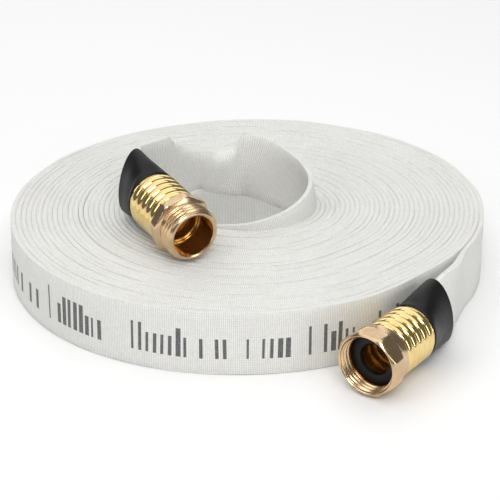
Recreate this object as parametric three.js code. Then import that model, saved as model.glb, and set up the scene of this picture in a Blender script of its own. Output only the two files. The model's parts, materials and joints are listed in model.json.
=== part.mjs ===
// A flat woven fire hose, rolled up on its edge, with a brass garden-hose-thread coupling on each end.
// Millimetres, +Z up. The roll's centre is at x = y = 0 while building and the roll stands on z = 0.
// The last lines move everything so that the origin is the middle of the footprint, on the floor.
import * as THREE from "three";

// ---- Driving dimensions -------------------------------------------------------------------------

const HOSE_WIDTH = 33; // lay-flat width of a 3/4 inch hose
const HOSE_THICKNESS = 2.3; // both walls pressed together
const JACKET_WALL = 0.7; // one woven wall
const LINER_WALL = 0.5; // one wall of the smooth inner tube
const GAP = 0.3; // air left between two pieces that touch on the real hose

const THREAD_RADIUS = 13.45; // garden hose thread, 1-1/16 inch over the crests
const THREAD_PITCH = 2.209; // 11.5 turns per inch
const THREAD_DEPTH = 0.95;
const THREAD_LEAD = 0.9; // plain end in front of the first thread

const ROUND_STEPS = 32; // sides of a full circle on the couplings
const FLATS = 8; // the wrench flats make an octagon

// Roll: a slightly oval ring with an oval eye. Its outer turns are pressed flatter where the outer
// end leaves them.
const ROLL = {
  radius: 111.2,
  ovalAlong: 5.6,
  ovalAcross: 2.5,
  flatDepth: 3.2,
  flatMiddle: THREE.MathUtils.degToRad(-25),
  flatSpread: THREE.MathUtils.degToRad(25),
  steps: 84,
  edgeRound: 0.9,
};
const EYE = { halfX: 34.8, halfY: 29, middleY: 4 };

// Radii of the clamped stack, from the water outwards.
const STEM_BORE = 9.5;
const STEM_OUTER = 10.6;
const LINER_INNER = STEM_OUTER + GAP;
const LINER_OUTER = LINER_INNER + LINER_WALL;
const JACKET_INNER = LINER_OUTER + GAP;
const JACKET_OUTER = JACKET_INNER + JACKET_WALL;
const FERRULE_INNER = JACKET_OUTER + GAP;
const FERRULE_CREST = 13.9;
const FERRULE_ROOT = 13.1;
const FERRULE_LIP = 1.0; // thickness of its front wall
const CORRUGATIONS = 5;

// Black rubber sleeve: its outside where it is round, and half its oval at the open end.
const CUFF = { wall: 0.9, round: 13.6, halfHeight: 17.6, halfThick: 8.6 };
const FLAT_IN_CUFF = { halfWidth: 15.7, halfThick: 1.5 };

// Stations along a coupling, counted from its mouth towards the hose.
const MALE = {
  mouth: new THREE.Vector3(-25.6, -60.3, 47.8),
  rear: new THREE.Vector3(-46.8, -25.0, 50.8),
  flatsTurned: THREE.MathUtils.degToRad(8.1),
  bore: 10.55,
  threadEnd: 9.8,
  neckEnd: 11.6,
  bodyEnd: 16.3,
  stemStart: 14.6,
  ferruleStart: 16.7,
  ferruleEnd: 40,
};
const FEMALE = {
  mouth: new THREE.Vector3(52.9, -125.8, 16.9),
  rear: new THREE.Vector3(74.2, -96.2, 16.9),
  flatsTurned: THREE.MathUtils.degToRad(25.1),
  washerStart: 7.2,
  washerEnd: 9.6,
  flangeEnd: 11.5,
  nutEnd: 15.2,
  stemStart: 9.9,
  ferruleStart: 15.6,
  ferruleEnd: 38.4,
};

// ---- Finishes -----------------------------------------------------------------------------------

function finish(name, colour, roughness, metalness) {
  return new THREE.MeshStandardMaterial({ name, color: colour, roughness, metalness });
}

const FINISHES = {
  jacket: finish("jacket", 0xe9e8e3, 0.85, 0),
  liner: finish("liner", 0xcfc9bb, 0.5, 0),
  cuff: finish("cuff", 0x191919, 0.6, 0),
  washer: finish("washer", 0x111111, 0.7, 0),
  ferrule: finish("ferrule", 0xd9b35a, 0.2, 1),
  body: finish("body", 0xc49a6c, 0.35, 1),
  stem: finish("stem", 0xa9752c, 0.3, 1),
};

const hose = new THREE.Group();
hose.name = "rolled_fire_hose";

function addPiece(name, finishName, geometry) {
  const mesh = new THREE.Mesh(geometry, FINISHES[finishName]);
  mesh.name = name;
  hose.add(mesh);
}

// ---- Skinning: loops of points joined into one closed solid -------------------------------------

function signedVolume(points, triangles) {
  let volume = 0;
  for (let t = 0; t < triangles.length; t += 3) {
    const [a, b, c] = [0, 1, 2].map((k) => points[triangles[t + k]]);
    volume += a.dot(b.clone().cross(c)) / 6;
  }
  return volume;
}

// Joins neighbouring loops with strips. A ring also joins the last loop to the first one;
// otherwise both end loops are closed with a fan about their middle.
function skin(loops, isRing) {
  const count = loops[0].length;
  const points = loops.flat();
  const triangles = [];
  const strips = isRing ? loops.length : loops.length - 1;
  for (let row = 0; row < strips; row += 1) {
    const next = (row + 1) % loops.length;
    for (let k = 0; k < count; k += 1) {
      const after = (k + 1) % count;
      const [a, b] = [row * count + k, row * count + after];
      const [c, d] = [next * count + k, next * count + after];
      triangles.push(a, b, d, a, d, c);
    }
  }
  if (!isRing) {
    const closeWithFan = (row, isFirst) => {
      const middle = new THREE.Vector3();
      loops[row].forEach((point) => middle.add(point));
      points.push(middle.divideScalar(count));
      for (let k = 0; k < count; k += 1) {
        const [a, b] = [row * count + k, row * count + ((k + 1) % count)];
        triangles.push(points.length - 1, ...(isFirst ? [b, a] : [a, b]));
      }
    };
    closeWithFan(0, true);
    closeWithFan(loops.length - 1, false);
  }
  if (signedVolume(points, triangles) < 0) {
    triangles.reverse();
  }
  const geometry = new THREE.BufferGeometry().setFromPoints(points);
  geometry.setIndex(triangles);
  geometry.computeVertexNormals();
  return geometry;
}

// ---- Turned pieces ------------------------------------------------------------------------------

// The coupling's own frame: "along" runs from the mouth to the hose, "side" and "up" span the circle.
function couplingFrame(coupling) {
  const along = coupling.rear.clone().sub(coupling.mouth).normalize();
  const side = new THREE.Vector3(0, 0, 1).cross(along).normalize();
  const up = along.clone().cross(side);
  return { along, side, up };
}

function circlePoint(coupling, frame, station, radius, angle) {
  return coupling.mouth
    .clone()
    .addScaledVector(frame.along, station)
    .addScaledVector(frame.side, radius * Math.cos(angle))
    .addScaledVector(frame.up, radius * Math.sin(angle));
}

// How far out the octagon's side is, in the given direction from its first corner.
function octagonRadius(apothem, angleFromCorner) {
  const sector = (2 * Math.PI) / FLATS;
  const inSector = THREE.MathUtils.euclideanModulo(angleFromCorner, sector) - sector / 2;
  return apothem / Math.cos(inSector);
}

// Turns a closed profile of [station, radius] about the coupling's axis. Points marked with an
// apothem are cut back to an octagon of that size, whose first corner is turned from the side.
function turn(coupling, profile) {
  const frame = couplingFrame(coupling);
  const start = coupling.flatsTurned;
  const loops = profile.map(([station, radius, apothem]) =>
    Array.from({ length: ROUND_STEPS }, (_, k) => {
      const fromCorner = (2 * Math.PI * k) / ROUND_STEPS;
      const limit = apothem ? octagonRadius(apothem, fromCorner) : Infinity;
      return circlePoint(coupling, frame, station, Math.min(radius, limit), start + fromCorner);
    }),
  );
  return skin(loops, true);
}

// Rounded ridges between two stations, as [station, radius] pairs from first to last.
function ridges(from, to, count, crest, root) {
  const pitch = (to - from) / count;
  const groove = 0.1 * pitch;
  const shoulder = 0.32 * pitch;
  const points = [];
  for (let k = 0; k < count; k += 1) {
    const start = from + k * pitch;
    const end = start + pitch;
    points.push([start + groove, root]);
    points.push([start + shoulder, crest]);
    points.push([end - shoulder, crest]);
    points.push([end - groove, root]);
  }
  return points;
}

// Sharp thread ridges between two stations.
function threadRidges(from, to, crest, root) {
  const flank = 0.4 * THREAD_PITCH;
  const count = Math.floor((to - from) / THREAD_PITCH);
  const points = [];
  for (let k = 0; k < count; k += 1) {
    const start = from + k * THREAD_PITCH;
    points.push([start, root]);
    points.push([start + flank, crest]);
    points.push([start + THREAD_PITCH - flank, crest]);
  }
  points.push([from + count * THREAD_PITCH, root]);
  return points;
}

// ---- Brass pieces -------------------------------------------------------------------------------

// Corrugated shell that clamps the hose on the stem. Its front wall closes in over the hose end.
function ferruleGeometry(coupling) {
  const bevel = 0.4;
  const { ferruleStart: front, ferruleEnd: back } = coupling;
  return turn(coupling, [
    [front, STEM_OUTER + GAP],
    [front, FERRULE_ROOT - bevel],
    ...ridges(front, back, CORRUGATIONS, FERRULE_CREST, FERRULE_ROOT),
    [back, FERRULE_ROOT],
    [back, FERRULE_INNER],
    [front + FERRULE_LIP, FERRULE_INNER],
    [front + FERRULE_LIP, STEM_OUTER + GAP],
  ]);
}

// Thin tube inside the hose end, its bore rippled where it was expanded against the ferrule.
function stemProfile(coupling) {
  const ripple = 0.45;
  const shortOfFerrule = 1.5;
  const start = coupling.ferruleStart + FERRULE_LIP;
  const back = coupling.ferruleEnd - shortOfFerrule;
  const bore = ridges(start, back, CORRUGATIONS, STEM_BORE, STEM_BORE + ripple);
  return { back, bore: bore.reverse() };
}

function maleStemGeometry() {
  const { back, bore } = stemProfile(MALE);
  return turn(MALE, [
    [MALE.stemStart, STEM_BORE],
    [MALE.stemStart, STEM_OUTER],
    [back, STEM_OUTER],
    ...bore,
  ]);
}

// The flange at the front carries the washer, and the swivel nut pulls on its back.
function femaleStemGeometry() {
  const flangeRadius = 12.5;
  const throat = 8.6;
  const throatLength = 2.9;
  const { back, bore } = stemProfile(FEMALE);
  return turn(FEMALE, [
    [FEMALE.stemStart, throat],
    [FEMALE.stemStart, flangeRadius],
    [FEMALE.flangeEnd, flangeRadius],
    [FEMALE.flangeEnd, STEM_OUTER],
    [back, STEM_OUTER],
    ...bore,
    [FEMALE.stemStart + throatLength, throat],
  ]);
}

// Machined body: outside thread, neck, octagon, and a counterbore at the back for the stem.
function maleBodyGeometry() {
  const apothem = 14.3;
  const corner = 15.3;
  const chamfer = 1.1;
  const bevel = 0.4;
  const root = THREAD_RADIUS - THREAD_DEPTH;
  const counterbore = STEM_OUTER + GAP;
  const seat = MALE.stemStart - GAP;
  return turn(MALE, [
    [0, MALE.bore + bevel],
    [0, root - bevel],
    ...threadRidges(THREAD_LEAD, MALE.threadEnd, THREAD_RADIUS, root),
    [MALE.neckEnd - chamfer, root],
    [MALE.neckEnd - bevel, corner - chamfer, apothem],
    [MALE.neckEnd + bevel, corner, apothem],
    [MALE.bodyEnd - bevel, corner, apothem],
    [MALE.bodyEnd, corner - chamfer, apothem],
    [MALE.bodyEnd, counterbore],
    [seat, counterbore],
    [seat, MALE.bore],
    [bevel, MALE.bore],
  ]);
}

// Swivel nut: inside thread in front, a seat for the washer, and a back wall behind the flange.
function swivelNutGeometry() {
  const apothem = 15.1;
  const corner = 16.3;
  const rim = 14.5;
  const rimRound = 1.2;
  const chamfer = 0.8;
  const bevel = 0.5;
  const flatsEnd = 8.8;
  const collar = 13.9;
  const collarStart = 11;
  const threadRoot = THREAD_RADIUS + GAP;
  const seat = 12.85;
  const neckHole = STEM_OUTER + GAP;
  const backWall = FEMALE.flangeEnd + GAP;
  const bore = threadRidges(THREAD_LEAD, FEMALE.washerStart, threadRoot - THREAD_DEPTH, threadRoot);
  return turn(FEMALE, [
    [0, rim],
    [rimRound, corner - GAP, apothem],
    [rimRound + chamfer, corner, apothem],
    [flatsEnd - chamfer, corner, apothem],
    [flatsEnd, apothem],
    [collarStart, collar],
    [FEMALE.nutEnd - bevel, collar],
    [FEMALE.nutEnd, collar - bevel],
    [FEMALE.nutEnd, neckHole],
    [backWall, neckHole],
    [backWall, seat],
    ...bore.reverse(),
    [0, threadRoot],
  ]);
}

function washerGeometry() {
  const hole = 7.3;
  const outer = 12.5;
  const bevel = 0.4;
  const { washerStart: front, washerEnd: back } = FEMALE;
  return turn(FEMALE, [
    [front, hole + bevel],
    [front, outer - bevel],
    [front + bevel, outer],
    [back, outer],
    [back, hole],
    [front + bevel, hole],
  ]);
}

// ---- Hose ends inside the couplings -------------------------------------------------------------

// A point on the outline of a band: flat in the middle, round at both edges. With equal half
// width and half thickness it is a circle, so one outline can change into the other.
function bandOutline(centre, widthWay, thickWay, halfWidth, halfThick, steps) {
  return Array.from({ length: steps }, (_, k) => {
    const angle = (2 * Math.PI * (k + 0.5)) / steps;
    const edge = Math.sign(Math.cos(angle)) * (halfWidth - halfThick);
    return centre
      .clone()
      .addScaledVector(widthWay, edge + halfThick * Math.cos(angle))
      .addScaledVector(thickWay, halfThick * Math.sin(angle));
  });
}

// The frame of a band at one place on its curve: its width stays as near upright as it can.
function bandFrame(curve, at) {
  const tangent = curve.getTangentAt(at);
  const widthWay = new THREE.Vector3(0, 0, 1).projectOnPlane(tangent).normalize();
  const thickWay = tangent.clone().cross(widthWay);
  return { centre: curve.getPointAt(at), widthWay, thickWay };
}

const BAND_STEPS = 24;

// The jacket from the round coupling to the flat hose, grown outwards (or inwards) a little.
function jacketLoop(curve, blend, grow) {
  const { centre, widthWay, thickWay } = bandFrame(curve, blend);
  const eased = Math.sin((blend * Math.PI) / 2);
  const halfWidth = THREE.MathUtils.lerp(JACKET_OUTER, FLAT_IN_CUFF.halfWidth, eased) + grow;
  const halfThick = THREE.MathUtils.lerp(JACKET_OUTER, FLAT_IN_CUFF.halfThick, eased) + grow;
  return bandOutline(centre, widthWay, thickWay, halfWidth, halfThick, BAND_STEPS);
}

// The rubber sleeve's outline: round at the ferrule, pulled into an upright oval by the flat hose.
function cuffLoop(curve, blend, inset) {
  const { centre, widthWay, thickWay } = bandFrame(curve, blend);
  const eased = Math.sin((blend * Math.PI) / 2);
  const height = THREE.MathUtils.lerp(CUFF.round, CUFF.halfHeight, eased) - inset;
  const thickness = THREE.MathUtils.lerp(CUFF.round, CUFF.halfThick, eased) - inset;
  return Array.from({ length: BAND_STEPS }, (_, k) => {
    const angle = (2 * Math.PI * (k + 0.5)) / BAND_STEPS;
    return centre
      .clone()
      .addScaledVector(widthWay, height * Math.cos(angle))
      .addScaledVector(thickWay, thickness * Math.sin(angle));
  });
}

function evenly(count, from, to) {
  return Array.from({ length: count }, (_, k) => from + ((to - from) * k) / (count - 1));
}

// Open at both ends.
function cuffGeometry(curve) {
  const stops = evenly(10, 0, 1);
  const outside = stops.map((blend) => cuffLoop(curve, blend, 0));
  const inside = stops.map((blend) => cuffLoop(curve, blend, CUFF.wall));
  return skin([...outside, ...inside.reverse()], true);
}

// The woven jacket's last stretch: clamped round in the ferrule, flat where it leaves the cuff.
function hoseEndGeometry(coupling, curve) {
  const frame = couplingFrame(coupling);
  const roundLoop = (station, radius) =>
    bandOutline(
      coupling.mouth.clone().addScaledVector(frame.along, station),
      frame.up,
      frame.side.clone().negate(),
      radius,
      radius,
      BAND_STEPS,
    );
  const front = coupling.ferruleStart + FERRULE_LIP + GAP;
  const pocketEnd = 0.6;
  const outside = evenly(10, 0, 1).map((blend) => jacketLoop(curve, blend, 0));
  const inside = evenly(6, 0, pocketEnd).map((blend) => jacketLoop(curve, blend, -JACKET_WALL));
  return skin(
    [...inside.reverse(), roundLoop(front, JACKET_INNER), roundLoop(front, JACKET_OUTER), ...outside],
    false,
  );
}

function linerEndGeometry(coupling) {
  const front = coupling.ferruleStart + FERRULE_LIP + GAP;
  const back = coupling.ferruleEnd;
  return turn(coupling, [
    [front, LINER_INNER],
    [front, LINER_OUTER],
    [back, LINER_OUTER],
    [back, LINER_INNER],
  ]);
}

// ---- Hose ---------------------------------------------------------------------------------------

// The coiled part: every turn stands on its edge against the next, so together they fill a ring.
function rollRadius(angle) {
  const oval = ROLL.ovalAlong * Math.cos(2 * angle) + ROLL.ovalAcross * Math.sin(2 * angle);
  const turn = 2 * Math.PI;
  const fromFlat = THREE.MathUtils.euclideanModulo(angle - ROLL.flatMiddle + Math.PI, turn) - Math.PI;
  return ROLL.radius + oval - ROLL.flatDepth * Math.exp(-((fromFlat / ROLL.flatSpread) ** 2));
}

function rollGeometry() {
  const { steps, edgeRound } = ROLL;
  const outer = (angle, inset) => [
    (rollRadius(angle) - inset) * Math.cos(angle),
    (rollRadius(angle) - inset) * Math.sin(angle),
  ];
  const inner = (angle, inset) => [
    (EYE.halfX + inset) * Math.cos(angle),
    EYE.middleY + (EYE.halfY + inset) * Math.sin(angle),
  ];
  const loop = (edge, inset, height) =>
    Array.from({ length: steps }, (_, k) => {
      const [x, y] = edge((2 * Math.PI * k) / steps, inset);
      return new THREE.Vector3(x, y, height);
    });
  const top = HOSE_WIDTH;
  return skin(
    [
      loop(outer, edgeRound, 0),
      loop(outer, 0, edgeRound),
      loop(outer, 0, top - edgeRound),
      loop(outer, edgeRound, top),
      loop(inner, edgeRound, top),
      loop(inner, 0, top - edgeRound),
      loop(inner, 0, edgeRound),
      loop(inner, edgeRound, 0),
    ],
    true,
  );
}

const TAIL_BAND_STEPS = 8;

function tailGeometry(curve, steps) {
  const loops = evenly(steps, 0, 1).map((at) => {
    const { centre, widthWay, thickWay } = bandFrame(curve, at);
    const [halfWidth, halfThick] = [HOSE_WIDTH / 2, HOSE_THICKNESS / 2];
    return bandOutline(centre, widthWay, thickWay, halfWidth, halfThick, TAIL_BAND_STEPS);
  });
  return skin(loops, false);
}

// The centre lines of the two cuffs start at the back of the ferrule and end in flat hose.
function cuffCurve(coupling, ...rest) {
  const frame = couplingFrame(coupling);
  const start = coupling.mouth.clone().addScaledVector(frame.along, coupling.ferruleEnd + GAP);
  const second = start.clone().addScaledVector(frame.along, 5);
  return new THREE.CatmullRomCurve3([start, second, ...rest], false, "centripetal");
}

const maleCuffCurve = cuffCurve(
  MALE,
  new THREE.Vector3(-51.4, -17.4, 51.6),
  new THREE.Vector3(-55.9, -9.9, 52.1),
);
const femaleCuffCurve = cuffCurve(
  FEMALE,
  new THREE.Vector3(82.6, -84.5, 17.6),
  new THREE.Vector3(88.8, -75.8, 18.0),
);

// The tail starts in flat hose a gap behind the cuff and leaves it in the cuff's own direction.
function tailStart(cuff) {
  const way = cuff.getTangentAt(1);
  const first = cuff.getPointAt(1).addScaledVector(way, GAP);
  return [first, first.clone().addScaledVector(way, 3)];
}

// The inner end climbs the wall of the eye from the floor to the roll's top, crosses the top and
// turns back into its cuff.
function innerTailCurve() {
  const offWall = HOSE_THICKNESS / 2 + 1.2;
  const climb = [
    [-150, 0.4],
    [-112, 0.8],
    [-75, 5],
    [-38, 10.5],
    [0, 14.5],
    [38, 17],
    [72, 21],
    [106, 26.5],
    [140, 32.6],
  ];
  const wall = climb.map(([degrees, bottom]) => {
    const angle = THREE.MathUtils.degToRad(degrees);
    return new THREE.Vector3(
      (EYE.halfX - offWall) * Math.cos(angle),
      EYE.middleY + (EYE.halfY - offWall) * Math.sin(angle),
      bottom + HOSE_WIDTH / 2,
    );
  });
  const onTop = [
    new THREE.Vector3(-37.5, 11.2, 50.2),
    new THREE.Vector3(-43.5, 4.8, 50.2),
    new THREE.Vector3(-50, 1.4, 50.8),
    new THREE.Vector3(-55, -1.4, 51.4),
  ];
  const points = [...tailStart(maleCuffCurve), ...onTop.reverse(), ...wall.reverse()];
  return new THREE.CatmullRomCurve3(points, false, "centripetal");
}

// The outer end leaves the roll's right side and runs straight into its coupling, on the floor.
function outerTailCurve() {
  const height = HOSE_WIDTH / 2 + 0.4;
  const points = [
    ...tailStart(femaleCuffCurve),
    new THREE.Vector3(98.2, -57, height + 0.6),
    new THREE.Vector3(107.4, -37.5, height),
    new THREE.Vector3(114.3, -19, height),
    new THREE.Vector3(118.1, 1, height),
    new THREE.Vector3(119.2, 14, height),
  ];
  return new THREE.CatmullRomCurve3(points, false, "centripetal");
}

// ---- Assembly -----------------------------------------------------------------------------------

addPiece("hose_roll", "jacket", rollGeometry());
addPiece("hose_inner_tail", "jacket", tailGeometry(innerTailCurve(), 64));
addPiece("hose_outer_tail", "jacket", tailGeometry(outerTailCurve(), 28));

addPiece("male_hose_end", "jacket", hoseEndGeometry(MALE, maleCuffCurve));
addPiece("male_liner_end", "liner", linerEndGeometry(MALE));
addPiece("male_cuff", "cuff", cuffGeometry(maleCuffCurve));
addPiece("male_ferrule", "ferrule", ferruleGeometry(MALE));
addPiece("male_stem", "stem", maleStemGeometry());
addPiece("male_body", "body", maleBodyGeometry());

addPiece("female_hose_end", "jacket", hoseEndGeometry(FEMALE, femaleCuffCurve));
addPiece("female_liner_end", "liner", linerEndGeometry(FEMALE));
addPiece("female_cuff", "cuff", cuffGeometry(femaleCuffCurve));
addPiece("female_ferrule", "ferrule", ferruleGeometry(FEMALE));
addPiece("female_stem", "stem", femaleStemGeometry());
addPiece("female_swivel_nut", "body", swivelNutGeometry());
addPiece("female_washer", "washer", washerGeometry());

// Put the origin at the middle of the footprint, on the floor.
const bounds = new THREE.Box3().setFromObject(hose);
const middle = bounds.getCenter(new THREE.Vector3());
hose.children.forEach((mesh) => mesh.geometry.translate(-middle.x, -middle.y, -bounds.min.z));

export default hose;
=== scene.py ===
"""The look of the rolled fire hose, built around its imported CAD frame. Metres, +Z up."""

import json
import math

import bpy
import numpy as np
from mathutils import Matrix, Vector


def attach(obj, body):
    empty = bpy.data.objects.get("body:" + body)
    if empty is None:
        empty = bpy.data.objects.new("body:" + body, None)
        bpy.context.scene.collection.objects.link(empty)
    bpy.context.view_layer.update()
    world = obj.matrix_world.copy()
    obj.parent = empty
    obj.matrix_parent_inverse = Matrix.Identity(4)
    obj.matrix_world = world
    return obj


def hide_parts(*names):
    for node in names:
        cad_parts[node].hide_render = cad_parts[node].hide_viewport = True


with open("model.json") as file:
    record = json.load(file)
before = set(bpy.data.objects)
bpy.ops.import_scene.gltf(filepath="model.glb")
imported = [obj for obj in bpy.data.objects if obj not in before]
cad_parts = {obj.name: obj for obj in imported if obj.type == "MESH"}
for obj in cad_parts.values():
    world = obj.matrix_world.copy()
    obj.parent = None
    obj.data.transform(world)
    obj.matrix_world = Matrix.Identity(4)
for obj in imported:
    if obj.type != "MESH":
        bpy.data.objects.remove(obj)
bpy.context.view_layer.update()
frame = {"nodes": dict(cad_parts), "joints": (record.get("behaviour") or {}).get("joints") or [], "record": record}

MM = 0.001
TURN = 2 * math.pi


# ---- Reading the CAD frame ----------------------------------------------------------------------


def corners_of(node):
    """Every corner of a CAD node once, as an array of points."""
    points = np.array([v.co[:] for v in frame["nodes"][node].data.vertices])
    return np.unique(points.round(7), axis=0)


class Axis:
    """A coupling's own frame: along runs from the mouth towards the hose."""

    def __init__(self, mouth, along):
        self.mouth = np.array(mouth, float)
        self.along = np.array(along, float) / np.linalg.norm(along)
        side = np.cross([0, 0, 1.0], self.along)
        self.side = side / np.linalg.norm(side)
        self.up = np.cross(self.along, self.side)

    def at(self, station):
        return self.mouth + self.along * station

    def span(self, node):
        """First and last station of a node along this axis."""
        stations = (corners_of(node) - self.mouth) @ self.along
        return stations.min(), stations.max()

    def reach(self, node):
        """Greatest distance of a node's corners from this axis."""
        offset = corners_of(node) - self.mouth
        across = offset - np.outer(offset @ self.along, self.along)
        return np.linalg.norm(across, axis=1).max()


def male_axis():
    mount = next(m for m in frame["record"]["mounts"] if m["name"] == "male_mouth_face")
    along = -np.array(mount["axis"])
    points = corners_of("male_body")
    stations = (points - np.array(mount["pos_m"])) @ along
    rim = points[np.abs(stations) < 0.05 * MM]
    return Axis(rim.mean(axis=0), along)


def female_axis():
    joint = next(j for j in frame["joints"] if j["name"] == "nut_swivel")
    return Axis(joint["pos_m"], joint["axis"])


MALE = male_axis()
FEMALE = female_axis()

# The CAD ring's edges are rounded by this much at top and bottom, so the eye is wider there than at its
# wall, and the eye's middle lies this far behind the roll's centre.
EDGE_ROUND = 0.9 * MM
EYE_BEHIND_CENTRE = 4 * MM

# The eye is the ring's inner edge, which is much nearer the middle than its outer edge.
roll_points = corners_of("hose_roll")
roll_middle = (roll_points.min(axis=0) + roll_points.max(axis=0)) / 2
from_middle = np.linalg.norm((roll_points - roll_middle)[:, :2], axis=1)
is_eye = from_middle < 0.5 * from_middle.max()
eye_low, eye_high = roll_points[is_eye].min(axis=0), roll_points[is_eye].max(axis=0)
EYE_MIDDLE = (eye_low + eye_high)[:2] / 2
EYE_HALF = (eye_high - eye_low)[:2] / 2
ROLL_CENTRE = EYE_MIDDLE - [0, EYE_BEHIND_CENTRE]
HOSE_WIDTH = roll_points[:, 2].max()


def polar_outline(points):
    """Radius as a function of the angle about the roll's centre, through these points."""
    offset = points[:, :2] - ROLL_CENTRE
    angles, radii = np.arctan2(offset[:, 1], offset[:, 0]), np.hypot(*offset.T)
    order = np.argsort(angles)
    angles, radii = angles[order], radii[order]
    return lambda a: np.interp(a, angles, radii, period=TURN)


WALL_HALF_HEIGHT = 0.48 * HOSE_WIDTH
on_wall = np.abs(roll_points[:, 2] - 0.5 * HOSE_WIDTH) < WALL_HALF_HEIGHT
outer_radius = polar_outline(roll_points[on_wall & ~is_eye])
eye_radius = polar_outline(roll_points[on_wall & is_eye])


# ---- Camera -------------------------------------------------------------------------------------

CAMERA_DISTANCE = 1.1
CAMERA_LENS_MM = 158.4
CAMERA_ELEVATION = math.radians(27.62)
CAMERA_ROLL = math.radians(0.54)
CAMERA_ASIDE = 0.6 * MM
CAMERA_LOWER = 6.3 * MM


def make_camera():
    """Looks along +Y and down at the middle of the roll, a little rolled to the left."""
    c, s = math.cos(CAMERA_ELEVATION), math.sin(CAMERA_ELEVATION)
    forward, right, up = Vector((0, c, -s)), Vector((1, 0, 0)), Vector((0, s, c))
    aim = Vector((*ROLL_CENTRE, 0.5 * HOSE_WIDTH)) + right * CAMERA_ASIDE - up * CAMERA_LOWER
    cr, sr = math.cos(CAMERA_ROLL), math.sin(CAMERA_ROLL)
    rolled_right = right * cr + up * sr
    rolled_up = up * cr - right * sr
    turned = Matrix((rolled_right, rolled_up, -forward)).transposed().to_4x4()
    camera = bpy.data.objects.new("camera", bpy.data.cameras.new("camera"))
    camera.data.sensor_width = 36
    camera.data.lens = CAMERA_LENS_MM
    camera.matrix_world = Matrix.Translation(aim - forward * CAMERA_DISTANCE) @ turned
    bpy.context.scene.collection.objects.link(camera)
    bpy.context.scene.camera = camera


make_camera()


# ---- Meshes -------------------------------------------------------------------------------------


def add_mesh(name, points, faces, body, uvs=None, sharp_degrees=None):
    """A closed mesh from an array of points and a list of faces, riding on a body."""
    mesh = bpy.data.meshes.new(name)
    mesh.from_pydata(points.tolist(), [], faces)
    mesh.polygons.foreach_set("use_smooth", np.ones(len(mesh.polygons), bool))
    if uvs is not None:
        layer = mesh.uv_layers.new(name="weave")
        layer.data.foreach_set("uv", np.asarray(uvs, np.float32).ravel())
    if sharp_degrees:
        mesh.set_sharp_from_angle(angle=math.radians(sharp_degrees))
    mesh.update()
    piece = bpy.data.objects.new(name, mesh)
    bpy.context.scene.collection.objects.link(piece)
    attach(piece, body)
    return piece


def grid_quads(rows, columns, ring):
    """Quads between neighbouring closed rows of points. A ring also joins the last row to the first."""
    quads = []
    for row in range(rows if ring else rows - 1):
        after = (row + 1) % rows
        for k in range(columns):
            nxt = (k + 1) % columns
            quads.append(
                (row * columns + k, after * columns + k, after * columns + nxt, row * columns + nxt)
            )
    return quads


def smoothstep(x, low, high):
    t = np.clip((x - low) / (high - low), 0, 1)
    return t * t * (3 - 2 * t)


def ripple(distance, wavelengths, seed):
    """A smooth, repeatable wave of about unit height along a length."""
    source = np.random.default_rng(seed)
    total = np.zeros_like(distance)
    for wavelength in wavelengths:
        total += np.sin(TURN * distance / wavelength + source.uniform(0, TURN))
    return total / math.sqrt(len(wavelengths))


# ---- Turned pieces ------------------------------------------------------------------------------

ROUND_STEPS = 128
FLATS = 8
MALE_FLATS_TURNED = math.radians(8.1)
FEMALE_FLATS_TURNED = math.radians(25.1)


def octagon(apothem, angle):
    """Distance to the side of an octagon whose first corner lies at angle 0."""
    sector = TURN / FLATS
    return apothem / np.cos(np.mod(angle, sector) - sector / 2)


def turned_piece(name, axis, profile, body, start_angle=0.0, sharp_degrees=38):
    """Turns a closed profile about an axis. Each profile point is (station, radius), where radius is a
    number or a function of the angle from the start angle."""
    angles = np.arange(ROUND_STEPS) * TURN / ROUND_STEPS
    radial = np.outer(np.cos(angles + start_angle), axis.side)
    radial += np.outer(np.sin(angles + start_angle), axis.up)
    rows = []
    for station, radius in profile:
        size = radius(angles) if callable(radius) else np.full(ROUND_STEPS, radius)
        rows.append(axis.at(station) + radial * size[:, None])
    points = np.concatenate(rows)
    quads = grid_quads(len(profile), ROUND_STEPS, True)
    piece = add_mesh(name, points, quads, body, sharp_degrees=sharp_degrees)
    make_outward(piece)
    return piece


def make_outward(piece):
    """Flips the faces of a closed mesh if they point inwards."""
    mesh = piece.data
    mesh.calc_loop_triangles()
    co = np.array([v.co[:] for v in mesh.vertices])
    tri = np.array([t.vertices[:] for t in mesh.loop_triangles])
    a, b, c = co[tri[:, 0]], co[tri[:, 1]], co[tri[:, 2]]
    if np.einsum("ij,ij->", a, np.cross(b, c)) < 0:
        mesh.flip_normals()


def flats(radius, apothem):
    """A round radius cut back to the octagon."""
    return lambda angle: np.minimum(radius, octagon(apothem, angle))


THREAD_PITCH = 2.209 * MM
THREAD_CREST = 13.45 * MM
THREAD_DEPTH = 1.05 * MM
THREAD_SAMPLES = 24
# Shares of the way from the crest to the root where the flank starts and ends.
FLANK_FROM, FLANK_TO = 0.12, 0.9


def thread_shape(turns):
    """Height of a garden hose thread from 0 at the root to 1 at the crest, once per turn."""
    from_crest = np.abs(np.mod(turns, 1.0) - 0.5) * 2
    return 1 - smoothstep(from_crest, FLANK_FROM, FLANK_TO)


def helix_rows(first, last, low, high, outside):
    """Profile points of a thread between two stations, fading out at both ends. It winds left-handed,
    which is the wrong way for a garden hose."""
    count = int((last - first) / THREAD_PITCH * THREAD_SAMPLES)
    rows = []
    for station in np.linspace(first, last, count):
        inside = min(station - first, last - station) / (0.5 * THREAD_PITCH)
        fade = min(max(inside, 0.0), 1.0)

        def radius(angle, station=station, fade=fade):
            height = thread_shape(station / THREAD_PITCH + angle / TURN) * fade
            return low + (high - low) * height if outside else high - (high - low) * height

        rows.append((station, radius))
    return rows


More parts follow.
